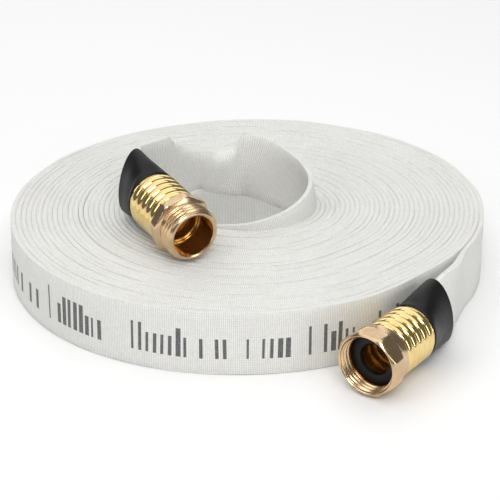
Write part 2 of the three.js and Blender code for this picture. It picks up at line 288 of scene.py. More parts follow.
def corrugated(first, last, count, crest, root, fullness, samples=12):
    """Rounded ridges with narrow grooves between them."""
    rows = []
    for k in range(count * samples + 1):
        u = k / samples
        rise = (1 - (2 * (u % 1.0) - 1) ** 2) ** fullness if k % samples else 0.0
        rows.append((first + (last - first) * k / (count * samples), root + (crest - root) * rise))
    return rows


FERRULE_RIDGES = 5


def build_ferrule(name, axis, node):
    first, last = axis.span(node)
    crest = axis.reach(node)
    root = crest - 1.05 * MM
    bore = 12.5 * MM
    tube = 10.9 * MM
    ridges = corrugated(first + 0.5 * MM, last - 0.9 * MM, FERRULE_RIDGES, crest, root, fullness=0.55)
    return turned_piece(
        name,
        axis,
        [
            (first, tube),
            (first, root - 0.8 * MM),
            (first + 0.2 * MM, root - 0.35 * MM),
            *ridges,
            (last - 0.5 * MM, root + 0.25 * MM),
            (last - 0.15 * MM, root + 0.2 * MM),
            (last, root - 0.05 * MM),
            (last, bore + 0.2 * MM),
            (last - 0.2 * MM, bore),
            (first + 0.9 * MM, bore),
            (first + 0.9 * MM, tube),
        ],
        "hose",
    )


FLANGE_THICKNESS = 1.6 * MM


def build_stem(name, axis, node, has_flange=False):
    first, last = axis.span(node)
    bore, outer = 9.35 * MM, 10.6 * MM
    crest = bore + 0.65 * MM
    ripples = corrugated(first + 3.5 * MM, last - 0.6 * MM, FERRULE_RIDGES, crest, bore, fullness=0.7)
    if has_flange:
        flange = axis.reach(node)
        throat_radius = bore - 0.8 * MM
        front = [
            (first, throat_radius + 0.2 * MM),
            (first, flange - 0.2 * MM),
            (first + 0.2 * MM, flange),
            (first + FLANGE_THICKNESS, flange),
            (first + FLANGE_THICKNESS, outer),
        ]
        throat = [(first + 0.3 * MM, throat_radius), (first + 2.2 * MM, throat_radius)]
    else:
        front = [(first, bore + 0.25 * MM), (first, outer - 0.25 * MM), (first + 0.25 * MM, outer)]
        throat = [(first + 0.3 * MM, bore)]
    back = [(last, outer), (last, bore + 0.1 * MM)]
    profile = [*front, *back, *reversed(ripples), *reversed(throat)]
    return turned_piece(name, axis, profile, "hose")


def build_male_body():
    first, last = MALE.span("male_body")
    corner = MALE.reach("male_body")
    apothem = 14.3 * MM
    bore = 10.55 * MM
    root = THREAD_CREST - THREAD_DEPTH
    octagon_start = last - 4.9 * MM
    thread_end = octagon_start - 1.9 * MM
    stem_start = MALE.span("male_stem")[0]
    counterbore = MALE.reach("male_stem") + 0.3 * MM
    return turned_piece(
        "male_body_brass",
        MALE,
        [
            (first + 0.12 * MM, bore + 0.5 * MM),
            (first, bore + 0.7 * MM),
            (first, root - 0.35 * MM),
            (first + 0.12 * MM, root - 0.15 * MM),
            (first + 0.7 * MM, root + 0.25 * MM),
            *helix_rows(first + 0.8 * MM, thread_end, root, THREAD_CREST, True),
            (thread_end + 0.1 * MM, root + 0.1 * MM),
            (octagon_start - 0.9 * MM, root + 0.1 * MM),
            (octagon_start - 0.75 * MM, root + 0.4 * MM),
            (octagon_start - 0.2 * MM, flats(corner - 0.9 * MM, apothem - 0.25 * MM)),
            (octagon_start + 0.15 * MM, flats(corner - 0.35 * MM, apothem)),
            (octagon_start + 0.7 * MM, flats(corner, apothem)),
            (last - 0.7 * MM, flats(corner, apothem)),
            (last - 0.25 * MM, flats(corner - 0.35 * MM, apothem)),
            (last, flats(corner - 0.9 * MM, apothem - 0.25 * MM)),
            (last, counterbore),
            (stem_start - 0.3 * MM, counterbore),
            (stem_start - 0.3 * MM, bore + 0.1 * MM),
            (stem_start - 0.4 * MM, bore),
            (first + 0.5 * MM, bore),
        ],
        "hose",
        start_angle=MALE_FLATS_TURNED,
    )


def build_swivel_nut():
    first, last = FEMALE.span("female_swivel_nut")
    washer_start, _ = FEMALE.span("female_washer")
    flange_end = FEMALE.span("female_stem")[0] + FLANGE_THICKNESS
    corner = FEMALE.reach("female_swivel_nut")
    apothem = 15.1 * MM
    rim = 14.5 * MM
    collar = 13.9 * MM
    flats_end = first + 8.8 * MM
    seat = 12.85 * MM
    neck = 11.0 * MM
    root = THREAD_CREST + 0.35 * MM
    thread = helix_rows(first + 0.8 * MM, washer_start, root - THREAD_DEPTH, root, False)
    return turned_piece(
        "swivel_nut_brass",
        FEMALE,
        [
            (first + 0.1 * MM, rim - 0.25 * MM),
            (first, rim - 0.1 * MM),
            (first, rim + 0.05 * MM),
            (first + 0.15 * MM, rim + 0.25 * MM),
            (first + 0.9 * MM, flats(corner - 0.75 * MM, apothem - 0.1 * MM)),
            (first + 1.5 * MM, flats(corner - 0.25 * MM, apothem)),
            (first + 2.2 * MM, flats(corner, apothem)),
            (flats_end - 1.1 * MM, flats(corner, apothem)),
            (flats_end - 0.5 * MM, flats(corner - 0.35 * MM, apothem)),
            (flats_end + 0.3 * MM, flats(corner - 0.9 * MM, apothem)),
            (flats_end + 0.9 * MM, apothem - 0.5 * MM),
            (flats_end + 2.0 * MM, collar + 0.1 * MM),
            (flats_end + 2.3 * MM, collar),
            (last - 0.5 * MM, collar),
            (last - 0.1 * MM, collar - 0.35 * MM),
            (last, collar - 0.6 * MM),
            (last, neck),
            (flange_end + 0.3 * MM, neck),
            (flange_end + 0.3 * MM, seat),
            (washer_start + 0.1 * MM, seat),
            *reversed(thread),
            (first + 0.5 * MM, root + 0.1 * MM),
        ],
        "swivel_nut",
        start_angle=FEMALE_FLATS_TURNED,
    )


def build_washer():
    first, last = FEMALE.span("female_washer")
    outer = FEMALE.reach("female_washer")
    hole = 7.6 * MM
    return turned_piece(
        "sealing_washer",
        FEMALE,
        [
            (first + 0.7 * MM, hole),
            (first + 0.2 * MM, hole + 0.2 * MM),
            (first, hole + 0.65 * MM),
            (first, outer - 0.5 * MM),
            (first + 0.15 * MM, outer - 0.15 * MM),
            (first + 0.45 * MM, outer),
            (last, outer),
            (last, hole),
        ],
        "swivel_nut",
    )


# ---- Curves -------------------------------------------------------------------------------------

SAMPLES_PER_GAP = 60


def smooth_curve(points, step):
    """Rows every step along a smooth curve (centripetal Catmull-Rom) through the given rows. The first
    three columns are the place, and any others are carried along with it."""
    p = np.asarray(points, float)
    p = np.vstack([2 * p[0] - p[1], p, 2 * p[-1] - p[-2]])
    gaps = np.linalg.norm(np.diff(p[:, :3], axis=0), axis=1)
    knots = np.concatenate([[0], np.cumsum(gaps**0.5)])
    dense = []
    for i in range(1, len(p) - 2):
        t = np.linspace(knots[i], knots[i + 1], SAMPLES_PER_GAP, endpoint=i == len(p) - 3)[:, None]
        t0, t1, t2, t3 = knots[i - 1 : i + 3]
        a1 = (t1 - t) / (t1 - t0) * p[i - 1] + (t - t0) / (t1 - t0) * p[i]
        a2 = (t2 - t) / (t2 - t1) * p[i] + (t - t1) / (t2 - t1) * p[i + 1]
        a3 = (t3 - t) / (t3 - t2) * p[i + 1] + (t - t2) / (t3 - t2) * p[i + 2]
        b1 = (t2 - t) / (t2 - t0) * a1 + (t - t0) / (t2 - t0) * a2
        b2 = (t3 - t) / (t3 - t1) * a2 + (t - t1) / (t3 - t1) * a3
        dense.append((t2 - t) / (t2 - t1) * b1 + (t - t1) / (t2 - t1) * b2)
    return evenly_spaced(np.vstack(dense), step)


def lengths_along(rows):
    """Distance from the first row to each one."""
    return np.concatenate([[0], np.cumsum(np.linalg.norm(np.diff(rows[:, :3], axis=0), axis=1))])


def evenly_spaced(rows, step):
    """The same line with its rows a step apart."""
    lengths = lengths_along(rows)
    count = max(int(round(lengths[-1] / step)), 2)
    wanted = np.linspace(0, lengths[-1], count + 1)
    return np.stack([np.interp(wanted, lengths, column) for column in rows.T], axis=1)


def tangents(points):
    way = np.gradient(points, axis=0)
    return way / np.linalg.norm(way, axis=1)[:, None]


def upright_frames(points):
    """Tangent, width direction (as near upright as it can be) and outward direction at each point."""
    along = tangents(points)
    width = np.array([0, 0, 1.0]) - along * along[:, 2:3]
    width /= np.linalg.norm(width, axis=1)[:, None]
    return along, width, np.cross(along, width)


def in_roll(x_mm, y_mm, z_mm):
    """A point given in millimetres from the roll's centre on the floor."""
    return np.array([ROLL_CENTRE[0] + x_mm * MM, ROLL_CENTRE[1] + y_mm * MM, z_mm * MM])


# ---- Cuffs --------------------------------------------------------------------------------------

CUFF_STATIONS = 48
CUFF_STEPS = 72
CUFF_ROUND = 13.6 * MM
CUFF_WALL = 0.9 * MM
CUFF_GAP = 0.05 * MM
CUFF_STRAIGHT = 5 * MM
CUFF_LINE_STEP = 0.1 * MM
MALE_OVAL = {"height": 17.4 * MM, "thick": 6.8 * MM, "lean": math.radians(8)}
FEMALE_OVAL = {"height": 16.8 * MM, "thick": 8.6 * MM, "lean": math.radians(-11)}


def cuff_line(axis, ferrule, *rest):
    """From the back of the ferrule, first straight on, then through the given points."""
    start = axis.at(axis.span(ferrule)[1] + CUFF_GAP)
    return smooth_curve([start, start + axis.along * CUFF_STRAIGHT, *rest], CUFF_LINE_STEP)


def cuff_rows(line, oval, inset, stations):
    """Outlines of the cuff: round at the ferrule, pulled into an upright oval by the flat hose. Lean
    turns the oval's top outwards."""
    _, width, out = upright_frames(line)
    angle = TURN * np.arange(CUFF_STEPS) / CUFF_STEPS
    rows = []
    for station in stations:
        k = int(round(station * (len(line) - 1)))
        eased = math.sin(station * math.pi / 2)
        height = (CUFF_ROUND + (oval["height"] - CUFF_ROUND) * eased - inset) * np.cos(angle)
        thick = (CUFF_ROUND + (oval["thick"] - CUFF_ROUND) * eased - inset) * np.sin(angle)
        c, s = math.cos(oval["lean"] * eased), math.sin(oval["lean"] * eased)
        offset = np.outer(height * c - thick * s, width[k]) + np.outer(thick * c + height * s, out[k])
        rows.append(line[k] + offset)
    return rows


def build_cuff(name, line, oval, node):
    """The lip at the open end is a little rounded, and so is the end that meets the ferrule."""
    stations = np.linspace(0, 1, CUFF_STATIONS)
    front = cuff_rows(line, oval, 0.35 * MM, [0])
    outside = cuff_rows(line, oval, 0, np.linspace(0.02, 0.985, CUFF_STATIONS))
    lip = [*cuff_rows(line, oval, 0.12 * MM, [0.995]), *cuff_rows(line, oval, 0.4 * MM, [1])]
    inside = cuff_rows(line, oval, CUFF_WALL, stations)
    rows = [*front, *outside, *lip, *reversed(inside)]
    quads = grid_quads(len(rows), CUFF_STEPS, True)
    piece = add_mesh(name, np.concatenate(rows), quads, "hose", sharp_degrees=60)
    make_outward(piece)
    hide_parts(node)
    return piece


MALE_CUFF_LINE = cuff_line(MALE, "male_ferrule", in_roll(-52.6, -17.5, 51.7), in_roll(-57.9, -9.9, 52.4))
FEMALE_CUFF_LINE = cuff_line(
    FEMALE, "female_ferrule", in_roll(82.6, -84.5, 17.6), in_roll(88.8, -75.8, 18.0)
)


# ---- The hose -----------------------------------------------------------------------------------

# Every row of the hose's line is a place and four shapes: how far the band leans towards the eye
# (radians), how much of its width is flopped over outwards, half its thickness, and how far the whole
# band is turned with its top outwards (radians).
BAND_HALF = 1.12 * MM
STEP = 3.6 * MM
FINE_STEP = 1.5 * MM
BULGE_MM = {"even": 2.0, "left": 0.6, "front": 0.2, "front_and_back": 0.6}
DENT_FILL = {"mm": 1.2, "middle": -18, "spread": 15}
CUFF_ROOM = {"mm": 1.7, "middle": -43, "spread": 14}
# Small gaps between turns: how many turns from the spiral's start, and the slack in millimetres there.
LOOSE_TURNS = ((13.55, 0.3), (17.6, 0.42), (19.62, 0.2), (24.56, 0.16), (8.6, 0.14))
LOOSE_SPREAD = 0.09
SPIRAL_SAMPLES = 240
TURN_HALF_SHARE = 0.495
SPIRAL_START = math.radians(10)
SPIRAL_TURNS = 33.56
LOOSE_IN_EYE = 1.9 * MM
HALF_WIDTH = 0.5 * HOSE_WIDTH


def swell(angle, middle_degrees, spread_degrees):
    """A smooth rise to 1 round one angle."""
    away = np.mod(angle - math.radians(middle_degrees) + math.pi, TURN) - math.pi
    return np.exp(-((away / math.radians(spread_degrees)) ** 2))


def ring_at(angle):
    """Outer radius of the coiled cloth and the thickness of one turn at these angles. The cloth bulges
    a little past the smooth CAD ring, least at the right, but leaves the cuff its room."""
    bulge = BULGE_MM["even"] - BULGE_MM["left"] * np.cos(angle) - BULGE_MM["front"] * np.sin(angle)
    bulge -= BULGE_MM["front_and_back"] * np.cos(2 * angle)
    dent_fill = DENT_FILL["mm"] * swell(angle, DENT_FILL["middle"], DENT_FILL["spread"])
    cuff_room = CUFF_ROOM["mm"] * swell(angle, CUFF_ROOM["middle"], CUFF_ROOM["spread"])
    outside = outer_radius(angle) + (bulge + dent_fill - cuff_room) * MM
    inside = eye_radius(angle) - LOOSE_IN_EYE
    return outside, (outside - inside) / (SPIRAL_TURNS + 0.5)


def spiral_line():
    """The coiled turns from the outside in, turning anticlockwise seen from above. Each turn is nearly
    as thick as its share of the ring there, so neighbours all but touch."""
    angle = SPIRAL_START + np.linspace(0, SPIRAL_TURNS * TURN, int(SPIRAL_TURNS * SPIRAL_SAMPLES))
    turn = (angle - SPIRAL_START) / TURN
    outside, pitch = ring_at(angle)
    radius = outside - pitch * (turn + 0.5)
    half = TURN_HALF_SHARE * pitch
    for middle_turn, slack in LOOSE_TURNS:
        half -= slack * MM * np.exp(-(((turn - middle_turn) / LOOSE_SPREAD) ** 2))
    x, y = ROLL_CENTRE[0] + radius * np.cos(angle), ROLL_CENTRE[1] + radius * np.sin(angle)
    none = np.zeros_like(angle)
    return np.stack([x, y, np.full_like(angle, HALF_WIDTH), none, none, half, none], axis=1)


def stop(x_mm, y_mm, bottom_mm, lean_degrees=0.0, flop_mm=0.0, half=BAND_HALF):
    """One given row: a place on the roll and the band's shape there."""
    place = in_roll(x_mm, y_mm, bottom_mm) + [0, 0, HALF_WIDTH]
    return np.array([*place, math.radians(lean_degrees), flop_mm * MM, half, 0])


def stop_beside_roll(degrees, gap_mm, bottom_mm):
    """One row just outside the first turn, which has gone once round by then."""
    angle = math.radians(degrees)
    outside, pitch = ring_at(angle)
    turns_done = 1 + (angle - SPIRAL_START) / TURN
    radius = outside - pitch * turns_done + BAND_HALF + gap_mm * MM
    x, y = ROLL_CENTRE[0] + radius * math.cos(angle), ROLL_CENTRE[1] + radius * math.sin(angle)
    return np.array([x, y, bottom_mm * MM + HALF_WIDTH, 0, 0, BAND_HALF, 0])


def stop_in_eye(degrees, bottom_mm, lean_degrees=0.0, flop_mm=0.0):
    """One row on the wall of the eye."""
    angle = math.radians(degrees)
    off = LOOSE_IN_EYE + EDGE_ROUND
    x = EYE_MIDDLE[0] + (EYE_HALF[0] - off) * math.cos(angle)
    y = EYE_MIDDLE[1] + (EYE_HALF[1] - off) * math.sin(angle)
    height = bottom_mm * MM + HALF_WIDTH
    return np.array([x, y, height, math.radians(lean_degrees), flop_mm * MM, BAND_HALF, 0])


def inside_cuff(line, turned, back_mm, half_mm):
    """A row inside the cuff, this far back from its open end (or ahead of it, when negative)."""
    way = tangents(line)[-1]
    return np.array([*(line[-1] - way * back_mm * MM), 0, 0, half_mm * MM, turned])


def outer_tail_stops():
    """From inside the female cuff to the first turn. The hose is still half round in the cuff."""
    line, turned = FEMALE_CUFF_LINE, FEMALE_OVAL["lean"]
    return [
        inside_cuff(line, turned, 4, 5.4),
        inside_cuff(line, turned, 0, 5.0),
        inside_cuff(line, turned, -5, 3.8),
        stop(97.6, -58.2, 0.7, half=2.2 * MM),
        stop_beside_roll(-23, 0.9, 0.2),
        stop_beside_roll(-14, 0.15, 0),
        stop_beside_roll(-4, 0.05, 0),
    ]


def inner_tail_stops():
    """Up the wall of the eye, over the roll's top and round into the male cuff. The hose runs against
    the cuff's own line there, so its outward side is the cuff's inward one."""
    line, turned = MALE_CUFF_LINE, -MALE_OVAL["lean"]
    return [
        stop_in_eye(-124, 0.3),
        stop_in_eye(-86, 3.6),
        stop_in_eye(-52, 8.2, 3),
        stop_in_eye(-22, 12.4, 9),
        stop_in_eye(8, 15.2, 11),
        stop_in_eye(38, 17.6, 7),
        stop_in_eye(66, 21.0),
        stop_in_eye(84, 24.0, -5),
        stop_in_eye(92, 24.9, -6),
        stop_in_eye(104, 25.6, -3, 9),
        stop_in_eye(118, 28, 0, 14),
        stop_in_eye(132, 31, 0, 13),
        stop(-31.5, 17.6, 32.8, 0, 10),
        stop(-38.8, 10.4, 33.8, 0, 4),
        stop(-44.8, 5.0, 34.6),
        stop(-50.2, 0.9, 34.8),
        stop(-54.8, -3.4, 34.9, half=1.6 * MM),
        inside_cuff(line, turned, 0.5, 3.2),
        inside_cuff(line, turned, 4.5, 3.6),
    ]


FLOP_ANGLE = math.radians(100)
NARROWING = 0.4
FOLD_ROUND = 0.38
OVAL_FROM, OVAL_BY = 1.3 * MM, 4 * MM
BEND_SAMPLES = 120
LEAN_ROUND, FLOP_ROUND, FLOP_FULL = 5 * MM, 3.5 * MM, 6 * MM
FLAT_POINTS = 9
BEND_POINTS = 5


def band_loop(half_thick):
    """Offsets (across the width, outwards) round the pressed-flat hose: two walls joined by two folds.
    A thick band is an upright oval instead, and a little less wide."""
    half_width = HALF_WIDTH - NARROWING * (half_thick - BAND_HALF)
    fold = FOLD_ROUND * half_thick
    flat = np.linspace(-(half_width - fold), half_width - fold, FLAT_POINTS)
    bend = np.linspace(0, math.pi, BEND_POINTS + 2)[1:-1]
    wall = np.ones(FLAT_POINTS)
    w = np.concatenate([flat, flat[-1] + fold * np.sin(bend), flat[::-1], flat[0] - fold * np.sin(bend)])
    n = half_thick * np.concatenate([wall, np.cos(bend), -wall, -np.cos(bend)])
    oval = n * np.sqrt(np.clip(1 - (w / half_width) ** 2, 0, 1))
    share = smoothstep(half_thick, OVAL_FROM, OVAL_BY)
    return w, n + (oval - n) * share


def bent(w, n, bends):
    """The band bent along its width. Each bend has a height above the band's bottom edge, an angle
    (outwards is positive) and a radius."""
    heights = np.linspace(0, HOSE_WIDTH, BEND_SAMPLES)
    angle = sum(turn * smoothstep(heights, at - radius, at + radius) for at, turn, radius in bends)
    step = heights[1]
    rise = np.concatenate([[0], np.cumsum(np.cos(angle[1:]) * step)]) - HALF_WIDTH
    back = np.concatenate([[0], np.cumsum(np.sin(angle[1:]) * step)])
    own = w + HALF_WIDTH
    turned = np.interp(own, heights, angle)
    across = np.interp(own, heights, rise) - n * np.sin(turned)
    outwards = np.interp(own, heights, back) + n * np.cos(turned)
    return across, outwards


def bends_of(place, lean, flop):
    """A leaning band stands straight up to the roll's top and leans above it. A flopped one is bent
    over outwards near its upper edge."""
    bends = []
    if lean:
        free_from = min(HOSE_WIDTH - (place[2] - HALF_WIDTH), HOSE_WIDTH)
        bends.append((free_from, -lean, LEAN_ROUND))
    if flop > 0:
        bends.append((HOSE_WIDTH - flop, FLOP_ANGLE * smoothstep(flop, 0, FLOP_FULL), FLOP_ROUND))
    return bends


# Each tail's curve also passes through two places on the spiral, this many samples apart, so that it
# leaves the spiral smoothly. The inner tail's first rows lie on the coil and are left out.
JOIN_SAMPLES = 10
SHARED_ROWS = 5


def hose_line():
    """All rows of the hose from the female cuff to the male cuff, and where the coil starts and ends."""
    spiral = spiral_line()
    outer_join = spiral[: 2 * JOIN_SAMPLES : JOIN_SAMPLES]
    inner_join = spiral[-2 * JOIN_SAMPLES :: JOIN_SAMPLES]
    outside = smooth_curve([*outer_tail_stops(), *outer_join], FINE_STEP)
    coil = evenly_spaced(spiral[JOIN_SAMPLES:-JOIN_SAMPLES], STEP)
    inside = smooth_curve([*inner_join, *inner_tail_stops()], FINE_STEP)
    first, last = len(outside) - 1, len(outside) - 1 + len(coil)
    return np.vstack([outside[:-1], coil, inside[SHARED_ROWS:]]), first, last


WAVE_FADE = 60 * MM
WAVE_HEIGHT = 0.3 * MM
WAVE_LOWEST = 0.25 * MM
WAVE_LENGTHS = (0.31, 0.173, 0.094, 0.047)
WAVE_SEED = 5


def waviness(rows, distance, first, last):
    """Every turn stands a little higher or lower than its neighbours, fading out at the coil's ends."""
    coiled = smoothstep(distance, distance[first], distance[first] + WAVE_FADE)
    coiled *= 1 - smoothstep(distance, distance[last - 1] - WAVE_FADE, distance[last - 1])
    lift = WAVE_HEIGHT * ripple(distance, WAVE_LENGTHS, WAVE_SEED) * coiled
    rows[:, 2] += np.maximum(lift, -WAVE_LOWEST)


def build_hose():
    rows, first, last = hose_line()
    distance = lengths_along(rows)
    waviness(rows, distance, first, last)
    centre = rows[:, :3]
    _, width, out = upright_frames(centre)
    loops = []
    for k, (lean, flop, half, turned) in enumerate(rows[:, 3:]):
        w, n = band_loop(half)
        bends = bends_of(centre[k], lean, flop)
        if bends:
            w, n = bent(w, n, bends)
        c, s = math.cos(turned), math.sin(turned)
        loops.append(centre[k] + np.outer(w * c - n * s, width[k]) + np.outer(n * c + w * s, out[k]))
    count = len(loops[0])
    faces = grid_quads(len(loops), count, False)
    w, n = band_loop(BAND_HALF)
    edges = np.hypot(np.diff(w, append=w[0]), np.diff(n, append=n[0]))
    around = np.concatenate([[0], np.cumsum(edges)])
    uvs = []
    for row in range(len(loops) - 1):
        here, there = distance[row], distance[row + 1]
        for k in range(count):
            uvs += [(here, around[k]), (there, around[k]), (there, around[k + 1]), (here, around[k + 1])]
    for row in (0, len(loops) - 1):
        face = tuple(range(row * count, (row + 1) * count))
        faces.append(face if row else face[::-1])
        uvs += [(distance[row], around[k]) for k in range(count)]
    piece = add_mesh("hose_jacket", np.concatenate(loops), faces, "hose", uvs=uvs)
    make_outward(piece)
    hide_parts("hose_roll", "hose_inner_tail", "hose_outer_tail")
    return piece, distance[-1], printed_stretch(rows, distance)


# Degrees round the outermost turn of the printing's start and end and of the rule that divides it.
PRINT_ANGLES = (172, 322, 216)


def printed_stretch(rows, distance):
    """Where along the hose the printing starts and ends on the outermost turn, and where the tall rule
    that divides it stands."""
    x, y = (rows[:, :2] - ROLL_CENTRE).T
    angle = np.degrees(np.unwrap(np.arctan2(y, x)))
    return [float(np.interp(degrees, angle, distance)) for degrees in PRINT_ANGLES]


# ---- Materials ----------------------------------------------------------------------------------


class Shader:
    """A material's node tree with short ways to add and join nodes."""

    def __init__(self, name):
        self.material = bpy.data.materials.new(name)
        self.material.use_nodes = True
        self.nodes = self.material.node_tree.nodes
        self.links = self.material.node_tree.links
        self.surface = self.nodes["Principled BSDF"]

    def add(self, kind, **settings):
        node = self.nodes.new(kind)
        for key, value in settings.items():
            setattr(node, key, value)
        return node

    def feed(self, socket, value):
        if isinstance(value, bpy.types.NodeSocket):
            self.links.new(value, socket)
        else:
            socket.default_value = value

    def math(self, operation, a, b=0.0, c=0.0, clamp=False):
        node = self.add("ShaderNodeMath", operation=operation, use_clamp=clamp)
        for socket, value in zip(node.inputs, (a, b, c), strict=False):
            self.feed(socket, value)
        return node.outputs[0]

    def noise(self, vector, scale, detail=2.0, roughness=0.5):
        node = self.add("ShaderNodeTexNoise")
        self.feed(node.inputs["Vector"], vector)
        node.inputs["Scale"].default_value = scale
        node.inputs["Detail"].default_value = detail
        node.inputs["Roughness"].default_value = roughness
        return node.outputs["Fac"]

    def mix(self, share, first, second):
        node = self.add("ShaderNodeMix", data_type="RGBA")
        self.feed(node.inputs["Factor"], share)
        self.feed(node.inputs["A"], first)
        self.feed(node.inputs["B"], second)
        return node.outputs["Result"]

    def ramp(self, value, low, high, out_low=0.0, out_high=1.0):
        node = self.add("ShaderNodeMapRange", clamp=True)
        for name, item in (("Value", value), ("From Min", low), ("From Max", high),
                           ("To Min", out_low), ("To Max", out_high)):
            self.feed(node.inputs[name], item)
        return node.outputs["Result"]

    def bump(self, height, distance, strength=1.0, normal=None):
        node = self.add("ShaderNodeBump")
        self.feed(node.inputs["Height"], height)
        node.inputs["Distance"].default_value = distance
        node.inputs["Strength"].default_value = strength
        if normal is not None:
            self.feed(node.inputs["Normal"], normal)
        return node.outputs["Normal"]

    def set(self, name, value):
        self.feed(self.surface.inputs[name], value)


def object_place(shader):
    return shader.add("ShaderNodeTexCoord").outputs["Object"]


def wave(shader, value, pitch):
    """A sine of the value, from 0 to 1, once per pitch."""
    turned = shader.math("MULTIPLY", value, TURN / pitch)
    return shader.math("MULTIPLY_ADD", shader.math("SINE", turned), 0.5, 0.5)


RIB_PITCH = 0.86 * MM
PICK_PITCH = 0.95 * MM
INK_CELL = 3.6 * MM
INK_BELOW_MIDDLE = 8.4 * MM
INK_HEIGHT = 10.4 * MM
INK_EXTRA_HEIGHT = 4.6 * MM
CELLS_PER_WORD = 17
WORD_SHARE = 0.88
BAR_SEEDS = (11.3, 47.9, 83.1)
NARROWEST_BAR, WIDEST_BAR = 0.3, 0.7
MISSING_SHARE = 0.2
SHORT_SHARE = 0.72
DIVIDER_GAP = 5 * MM
DIVIDER_HALF = 0.5 * MM
DIVIDER_REACH = 9 * MM


def ink_marks(s, along, around, printed):
    """Plain printed bars of different heights on the outer wall of the hose and one tall rule: 1 where
    there is ink. They stand for the hose's printed line and spell nothing."""
    cell_place = s.math("DIVIDE", along, INK_CELL)
    cell = s.math("FLOOR", cell_place)
    inside_cell = s.math("SUBTRACT", cell_place, cell)
    chance = []
    for seed in BAR_SEEDS:
        noise = s.add("ShaderNodeTexWhiteNoise", noise_dimensions="1D")
        s.feed(noise.inputs["W"], s.math("ADD", cell, seed))
        chance.append(noise.outputs["Value"])
    bar_width = s.ramp(chance[0], 0, 1, NARROWEST_BAR, WIDEST_BAR)
    is_bar = s.math("LESS_THAN", inside_cell, bar_width)
    is_kept = s.math("GREATER_THAN", chance[1], MISSING_SHARE)
    baseline = 0.5 * HOSE_WIDTH - INK_BELOW_MIDDLE
    low = s.math("GREATER_THAN", around, baseline)
    tall = s.math("GREATER_THAN", chance[2], SHORT_SHARE)
    top = s.math("MULTIPLY_ADD", tall, INK_EXTRA_HEIGHT, baseline + INK_HEIGHT)
    high = s.math("LESS_THAN", around, top)
    marks = s.math("MULTIPLY", s.math("MULTIPLY", is_bar, is_kept), s.math("MULTIPLY", low, high))
    in_word = s.math("FRACT", s.math("DIVIDE", along, CELLS_PER_WORD * INK_CELL))
    words = s.math("LESS_THAN", in_word, WORD_SHARE)
    started = s.math("GREATER_THAN", along, printed[0])
    ended = s.math("LESS_THAN", along, printed[1])
    line = s.math("MULTIPLY", s.math("MULTIPLY", marks, words), s.math("MULTIPLY", started, ended))
    from_divider = s.math("ABSOLUTE", s.math("SUBTRACT", along, printed[2]))
    clear = s.math("GREATER_THAN", from_divider, DIVIDER_GAP)
    from_middle = s.math("ABSOLUTE", s.math("SUBTRACT", around, 0.5 * HOSE_WIDTH))
    rule = s.math("LESS_THAN", from_divider, DIVIDER_HALF)
    rule = s.math("MULTIPLY", rule, s.math("LESS_THAN", from_middle, DIVIDER_REACH))
    return s.math("MAXIMUM", s.math("MULTIPLY", line, clear), rule)


CLOTH_DARK, CLOTH_LIGHT = (0.6, 0.595, 0.555, 1), (0.9, 0.9, 0.875, 1)
INK = (0.045, 0.046, 0.05, 1)
WEAVE_DEPTH = 0.28 * MM


def jacket_material(printed):
    """Off-white woven polyester: ribs across the hose, fainter lines along it, and the printed bars."""
    s = Shader("woven_jacket")
    uv = s.add("ShaderNodeUVMap", uv_map="weave").outputs["UV"]
    split = s.add("ShaderNodeSeparateXYZ")
    s.feed(split.inputs[0], uv)
    along, around = split.outputs["X"], split.outputs["Y"]
    place = object_place(s)
    ribs = wave(s, along, RIB_PITCH)
    picks = wave(s, s.math("ADD", around, s.math("MULTIPLY", ribs, 0.3 * MM)), PICK_PITCH)
    weave = s.math("MULTIPLY_ADD", picks, 0.35, s.math("MULTIPLY", ribs, 0.65))
    fuzz = s.noise(place, 2400, 3)
    cloud = s.noise(place, 30, 3)
    speckle = s.noise(place, 620, 1)
    height = s.math("MULTIPLY_ADD", fuzz, 0.25, weave)
    s.set("Normal", s.bump(height, WEAVE_DEPTH))
    uneven = s.math("MULTIPLY_ADD", speckle, 0.45, s.math("MULTIPLY", cloud, 0.3))
    shade = s.math("MULTIPLY_ADD", weave, 0.9, uneven)
    cloth = s.mix(s.ramp(shade, 0.25, 1.15), CLOTH_DARK, CLOTH_LIGHT)
    ink = s.math("MULTIPLY", ink_marks(s, along, around, printed), s.ramp(fuzz, 0.25, 0.6, 0.7, 0.97))
    s.set("Base Color", s.mix(ink, cloth, INK))
    s.set("Roughness", 0.7)
    s.set("Sheen Weight", 0.2)
    s.set("Sheen Roughness", 0.4)
    return s.material


def liner_material():
    s = Shader("inner_tube")
    tone = s.noise(object_place(s), 150, 3)
    s.set("Base Color", s.mix(tone, (0.5, 0.45, 0.36, 1), (0.62, 0.57, 0.47, 1)))
    s.set("Roughness", s.ramp(tone, 0.3, 0.7, 0.4, 0.55))
    s.set("Normal", s.bump(tone, 0.05 * MM))
    return s.material


def matt_material(name, dark, light, rough_low, rough_high):
    """Rubber or plain cloth with fine grain and a little uneven tone."""
    s = Shader(name)
    place = object_place(s)
    grain = s.noise(place, 1500, 4)
    smear = s.noise(place, 90, 3)
    s.set("Base Color", s.mix(smear, dark, light))
    s.set("Roughness", s.ramp(smear, 0.3, 0.7, rough_low, rough_high))
    s.set("Normal", s.bump(grain, 0.06 * MM, 0.6))
    s.set("Specular IOR Level", 0.3)
    return s.material


